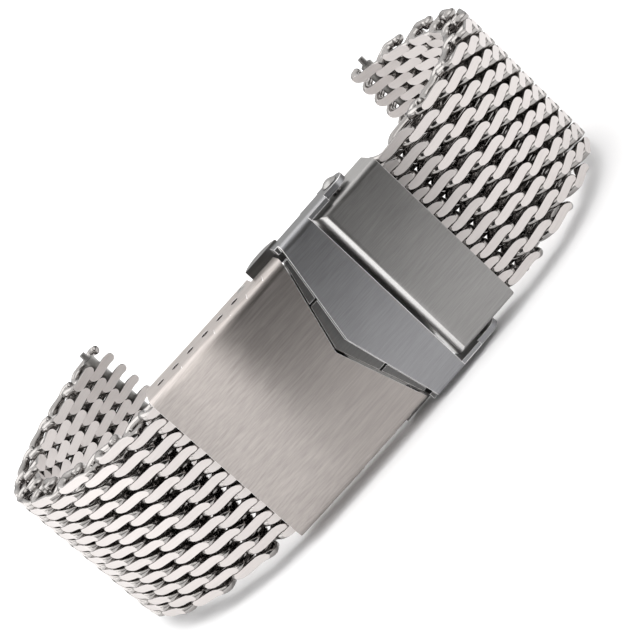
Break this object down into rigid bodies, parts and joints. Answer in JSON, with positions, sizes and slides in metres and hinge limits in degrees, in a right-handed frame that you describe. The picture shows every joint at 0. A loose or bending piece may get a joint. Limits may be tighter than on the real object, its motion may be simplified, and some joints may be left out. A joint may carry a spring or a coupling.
{
  "type": "watch band",
  "caption": "Woven steel mesh watch band closed to a C, with a folding clasp, adjusting holes, a flip lock and push buttons.",
  "frame": {"origin": "middle of the box round the band, on the surface that the band's side edge lies on", "axes": "+X along the clasp from the adjusting end to the flip lock's end, +Y from the clasp's outer face to the open ends of the arms, +Z across the band, up"},
  "size_m": [0.0728, 0.0508, 0.0236],
  "materials": {
    "brushed_cover": "brushed along the clasp",
    "brushed_lock": "brushed along the clasp",
    "brushed_cap": "brushed along the clasp",
    "mesh_wire": "flattened wire, ground bright on both faces",
    "polished_steel": "polished",
    "spring_wire": "plain drawn wire",
    "inner_steel": "plain pressed sheet and turned pins"
  },
  "bodies": {
    "cover": {"cover": "brushed_cover", "adjust_bar": "inner_steel", "cover_hinge_pin": "inner_steel", "mesh_a_00": "mesh_wire"},
    "adjust_tip_top": {"adjust_tip_top": "inner_steel"},
    "adjust_tip_bottom": {"adjust_tip_bottom": "inner_steel"},
    "outer_blade": {"outer_blade": "inner_steel"},
    "head": {"inner_blade": "inner_steel", "blade_hinge_pin": "inner_steel", "clasp_head": "inner_steel", "head_rivets": "inner_steel", "button_block": "inner_steel", "lock_pin": "polished_steel", "button_spring_top": "spring_wire", "button_spring_bottom": "spring_wire"},
    "flip_lock": {"flip_lock": "brushed_lock"},
    "end_cap": {"end_cap": "brushed_cap", "mesh_b_inside": "mesh_wire"},
    "push_button_top": {"push_button_top": "polished_steel"},
    "push_button_bottom": {"push_button_bottom": "polished_steel"},
    "row_a_01": {"mesh_a_01": "mesh_wire"},
    "row_a_02": {"mesh_a_02": "mesh_wire"},
    "row_a_03": {"mesh_a_03": "mesh_wire"},
    "row_a_04": {"mesh_a_04": "mesh_wire"},
    "row_a_05": {"mesh_a_05": "mesh_wire"},
    "row_a_06": {"mesh_a_06": "mesh_wire"},
    "row_a_07": {"mesh_a_07": "mesh_wire"},
    "row_a_08": {"mesh_a_08": "mesh_wire"},
    "row_a_09": {"mesh_a_09": "mesh_wire"},
    "row_a_10": {"mesh_a_10": "mesh_wire"},
    "row_a_11": {"mesh_a_11": "mesh_wire"},
    "row_a_12": {"mesh_a_12": "mesh_wire"},
    "row_a_13": {"mesh_a_13": "mesh_wire"},
    "row_a_14": {"mesh_a_14": "mesh_wire"},
    "row_a_15": {"mesh_a_15": "mesh_wire"},
    "row_a_16": {"mesh_a_16": "mesh_wire"},
    "row_a_17": {"mesh_a_17": "mesh_wire"},
    "row_a_18": {"mesh_a_18": "mesh_wire", "lug_bar_a": "inner_steel"},
    "row_b_02": {"mesh_b_02": "mesh_wire"},
    "row_b_03": {"mesh_b_03": "mesh_wire"},
    "row_b_04": {"mesh_b_04": "mesh_wire"},
    "row_b_05": {"mesh_b_05": "mesh_wire"},
    "row_b_06": {"mesh_b_06": "mesh_wire"},
    "row_b_07": {"mesh_b_07": "mesh_wire"},
    "row_b_08": {"mesh_b_08": "mesh_wire"},
    "row_b_09": {"mesh_b_09": "mesh_wire"},
    "row_b_10": {"mesh_b_10": "mesh_wire"},
    "row_b_11": {"mesh_b_11": "mesh_wire"},
    "row_b_12": {"mesh_b_12": "mesh_wire"},
    "row_b_13": {"mesh_b_13": "mesh_wire"},
    "row_b_14": {"mesh_b_14": "mesh_wire"},
    "row_b_15": {"mesh_b_15": "mesh_wire"},
    "row_b_16": {"mesh_b_16": "mesh_wire"},
    "row_b_17": {"mesh_b_17": "mesh_wire", "lug_bar_b": "inner_steel"},
    "lug_tip_a_top": {"lug_tip_a_top": "inner_steel"},
    "lug_tip_a_bottom": {"lug_tip_a_bottom": "inner_steel"},
    "lug_tip_b_top": {"lug_tip_b_top": "inner_steel"},
    "lug_tip_b_bottom": {"lug_tip_b_bottom": "inner_steel"}
  },
  "joints": [
    {"name": "clasp_fold", "type": "hinge", "parent": "cover", "child": "outer_blade", "pos_m": [-0.00416, -0.02099, 0.0118], "axis": [0, 0, -1], "range_deg": [0, 165]},
    {"name": "head_fold", "type": "hinge", "parent": "outer_blade", "child": "head", "pos_m": [-0.01564, -0.0189, 0.0118], "axis": [0, 0, 1], "range_deg": [0, 165]},
    {"name": "lock_flip", "type": "hinge", "parent": "head", "child": "flip_lock", "pos_m": [0.00935, -0.02297, 0.0118], "axis": [0, 0, 1], "range_deg": [0, 110]},
    {"name": "cap_swing", "type": "hinge", "parent": "head", "child": "end_cap", "pos_m": [0.00935, -0.02297, 0.0118], "axis": [0, 0, 1], "range_deg": [-8, 20]},
    {"name": "button_top", "type": "slide", "parent": "head", "child": "push_button_top", "axis": [0, 0, 1], "range_m": [-0.0008, 0], "stiffness_N_per_m": 400, "deforming": ["button_spring_top"]},
    {"name": "button_bottom", "type": "slide", "parent": "head", "child": "push_button_bottom", "axis": [0, 0, 1], "range_m": [0, 0.0008], "stiffness_N_per_m": 400, "deforming": ["button_spring_bottom"]},
    {"name": "adjust_tip_top", "type": "slide", "parent": "cover", "child": "adjust_tip_top", "axis": [0, 0, 1], "range_m": [-0.0004, 0], "stiffness_N_per_m": 400},
    {"name": "adjust_tip_bottom", "type": "slide", "parent": "cover", "child": "adjust_tip_bottom", "axis": [0, 0, 1], "range_m": [0, 0.0004], "stiffness_N_per_m": 400},
    {"name": "mesh_a_01_bend", "type": "hinge", "parent": "cover", "child": "row_a_01", "pos_m": [-0.01904, -0.02149, 0.0118], "axis": [0, 0, 1], "range_deg": [-2.5, 12.5]},
    {"name": "mesh_a_02_bend", "type": "hinge", "parent": "row_a_01", "child": "row_a_02", "pos_m": [-0.02211, -0.02058, 0.0118], "axis": [0, 0, 1], "range_deg": [-2.82, 12.18]},
    {"name": "mesh_a_03_bend", "type": "hinge", "parent": "row_a_02", "child": "row_a_03", "pos_m": [-0.02497, -0.01914, 0.0118], "axis": [0, 0, 1], "range_deg": [-3.15, 11.85]},
    {"name": "mesh_a_04_bend", "type": "hinge", "parent": "row_a_03", "child": "row_a_04", "pos_m": [-0.02754, -0.01724, 0.0118], "axis": [0, 0, 1], "range_deg": [-3.47, 11.53]},
    {"name": "mesh_a_05_bend", "type": "hinge", "parent": "row_a_04", "child": "row_a_05", "pos_m": [-0.02976, -0.01493, 0.0118], "axis": [0, 0, 1], "range_deg": [-3.79, 11.21]},
    {"name": "mesh_a_06_bend", "type": "hinge", "parent": "row_a_05", "child": "row_a_06", "pos_m": [-0.03158, -0.0123, 0.0118], "axis": [0, 0, 1], "range_deg": [-4.12, 10.88]},
    {"name": "mesh_a_07_bend", "type": "hinge", "parent": "row_a_06", "child": "row_a_07", "pos_m": [-0.03298, -0.00942, 0.0118], "axis": [0, 0, 1], "range_deg": [-4.44, 10.56]},
    {"name": "mesh_a_08_bend", "type": "hinge", "parent": "row_a_07", "child": "row_a_08", "pos_m": [-0.03393, -0.00637, 0.0118], "axis": [0, 0, 1], "range_deg": [-4.76, 10.23]},
    {"name": "mesh_a_09_bend", "type": "hinge", "parent": "row_a_08", "child": "row_a_09", "pos_m": [-0.03443, -0.00321, 0.0118], "axis": [0, 0, 1], "range_deg": [-5.09, 9.91]},
    {"name": "mesh_a_10_bend", "type": "hinge", "parent": "row_a_09", "child": "row_a_10", "pos_m": [-0.0345, -0.00001, 0.0118], "axis": [0, 0, 1], "range_deg": [-5.41, 9.59]},
    {"name": "mesh_a_11_bend", "type": "hinge", "parent": "row_a_10", "child": "row_a_11", "pos_m": [-0.03414, 0.00317, 0.0118], "axis": [0, 0, 1], "range_deg": [-5.74, 9.27]},
    {"name": "mesh_a_12_bend", "type": "hinge", "parent": "row_a_11", "child": "row_a_12", "pos_m": [-0.03338, 0.00628, 0.0118], "axis": [0, 0, 1], "range_deg": [-6.06, 8.94]},
    {"name": "mesh_a_13_bend", "type": "hinge", "parent": "row_a_12", "child": "row_a_13", "pos_m": [-0.03225, 0.00927, 0.0118], "axis": [0, 0, 1], "range_deg": [-6.38, 8.62]},
    {"name": "mesh_a_14_bend", "type": "hinge", "parent": "row_a_13", "child": "row_a_14", "pos_m": [-0.03078, 0.01212, 0.0118], "axis": [0, 0, 1], "range_deg": [-6.71, 8.29]},
    {"name": "mesh_a_15_bend", "type": "hinge", "parent": "row_a_14", "child": "row_a_15", "pos_m": [-0.02902, 0.01478, 0.0118], "axis": [0, 0, 1], "range_deg": [-7.03, 7.97]},
    {"name": "mesh_a_16_bend", "type": "hinge", "parent": "row_a_15", "child": "row_a_16", "pos_m": [-0.02698, 0.01725, 0.0118], "axis": [0, 0, 1], "range_deg": [-7.35, 7.65]},
    {"name": "mesh_a_17_bend", "type": "hinge", "parent": "row_a_16", "child": "row_a_17", "pos_m": [-0.02471, 0.01951, 0.0118], "axis": [0, 0, 1], "range_deg": [-7.68, 7.32]},
    {"name": "mesh_a_18_bend", "type": "hinge", "parent": "row_a_17", "child": "row_a_18", "pos_m": [-0.02224, 0.02154, 0.0118], "axis": [0, 0, 1], "range_deg": [-8, 7]},
    {"name": "mesh_b_02_bend", "type": "hinge", "parent": "end_cap", "child": "row_b_02", "pos_m": [0.01475, -0.02297, 0.0118], "axis": [0, 0, 1], "range_deg": [-7, 8]},
    {"name": "mesh_b_03_bend", "type": "hinge", "parent": "row_b_02", "child": "row_b_03", "pos_m": [0.01794, -0.02269, 0.0118], "axis": [0, 0, 1], "range_deg": [-12, 3]},
    {"name": "mesh_b_04_bend", "type": "hinge", "parent": "row_b_03", "child": "row_b_04", "pos_m": [0.02103, -0.02186, 0.0118], "axis": [0, 0, 1], "range_deg": [-11.73, 3.27]},
    {"name": "mesh_b_05_bend", "type": "hinge", "parent": "row_b_04", "child": "row_b_05", "pos_m": [0.02394, -0.02052, 0.0118], "axis": [0, 0, 1], "range_deg": [-11.46, 3.54]},
    {"name": "mesh_b_06_bend", "type": "hinge", "parent": "row_b_05", "child": "row_b_06", "pos_m": [0.02659, -0.01873, 0.0118], "axis": [0, 0, 1], "range_deg": [-11.19, 3.81]},
    {"name": "mesh_b_07_bend", "type": "hinge", "parent": "row_b_06", "child": "row_b_07", "pos_m": [0.02891, -0.01653, 0.0118], "axis": [0, 0, 1], "range_deg": [-10.91, 4.09]},
    {"name": "mesh_b_08_bend", "type": "hinge", "parent": "row_b_07", "child": "row_b_08", "pos_m": [0.03087, -0.014, 0.0118], "axis": [0, 0, 1], "range_deg": [-10.64, 4.36]},
    {"name": "mesh_b_09_bend", "type": "hinge", "parent": "row_b_08", "child": "row_b_09", "pos_m": [0.03242, -0.0112, 0.0118], "axis": [0, 0, 1], "range_deg": [-10.37, 4.63]},
    {"name": "mesh_b_10_bend", "type": "hinge", "parent": "row_b_09", "child": "row_b_10", "pos_m": [0.03356, -0.00821, 0.0118], "axis": [0, 0, 1], "range_deg": [-10.1, 4.9]},
    {"name": "mesh_b_11_bend", "type": "hinge", "parent": "row_b_10", "child": "row_b_11", "pos_m": [0.03425, -0.00508, 0.0118], "axis": [0, 0, 1], "range_deg": [-9.83, 5.17]},
    {"name": "mesh_b_12_bend", "type": "hinge", "parent": "row_b_11", "child": "row_b_12", "pos_m": [0.03452, -0.0019, 0.0118], "axis": [0, 0, 1], "range_deg": [-9.56, 5.44]},
    {"name": "mesh_b_13_bend", "type": "hinge", "parent": "row_b_12", "child": "row_b_13", "pos_m": [0.03436, 0.0013, 0.0118], "axis": [0, 0, 1], "range_deg": [-9.29, 5.71]},
    {"name": "mesh_b_14_bend", "type": "hinge", "parent": "row_b_13", "child": "row_b_14", "pos_m": [0.0338, 0.00445, 0.0118], "axis": [0, 0, 1], "range_deg": [-9.02, 5.99]},
    {"name": "mesh_b_15_bend", "type": "hinge", "parent": "row_b_14", "child": "row_b_15", "pos_m": [0.03286, 0.00751, 0.0118], "axis": [0, 0, 1], "range_deg": [-8.74, 6.26]},
    {"name": "mesh_b_16_bend", "type": "hinge", "parent": "row_b_15", "child": "row_b_16", "pos_m": [0.03157, 0.01044, 0.0118], "axis": [0, 0, 1], "range_deg": [-8.47, 6.53]},
    {"name": "mesh_b_17_bend", "type": "hinge", "parent": "row_b_16", "child": "row_b_17", "pos_m": [0.02996, 0.0132, 0.0118], "axis": [0, 0, 1], "range_deg": [-8.2, 6.8]},
    {"name": "lug_tip_a_top", "type": "slide", "parent": "row_a_18", "child": "lug_tip_a_top", "axis": [0, 0, 1], "range_m": [-0.0008, 0], "stiffness_N_per_m": 400},
    {"name": "lug_tip_a_bottom", "type": "slide", "parent": "row_a_18", "child": "lug_tip_a_bottom", "axis": [0, 0, 1], "range_m": [0, 0.0008], "stiffness_N_per_m": 400},
    {"name": "lug_tip_b_top", "type": "slide", "parent": "row_b_17", "child": "lug_tip_b_top", "axis": [0, 0, 1], "range_m": [-0.0008, 0], "stiffness_N_per_m": 400},
    {"name": "lug_tip_b_bottom", "type": "slide", "parent": "row_b_17", "child": "lug_tip_b_bottom", "axis": [0, 0, 1], "range_m": [0, 0.0008], "stiffness_N_per_m": 400}
  ],
  "couplings": [
    {"joint": "head_fold", "follows": "clasp_fold", "ratio": 1}
  ]
}
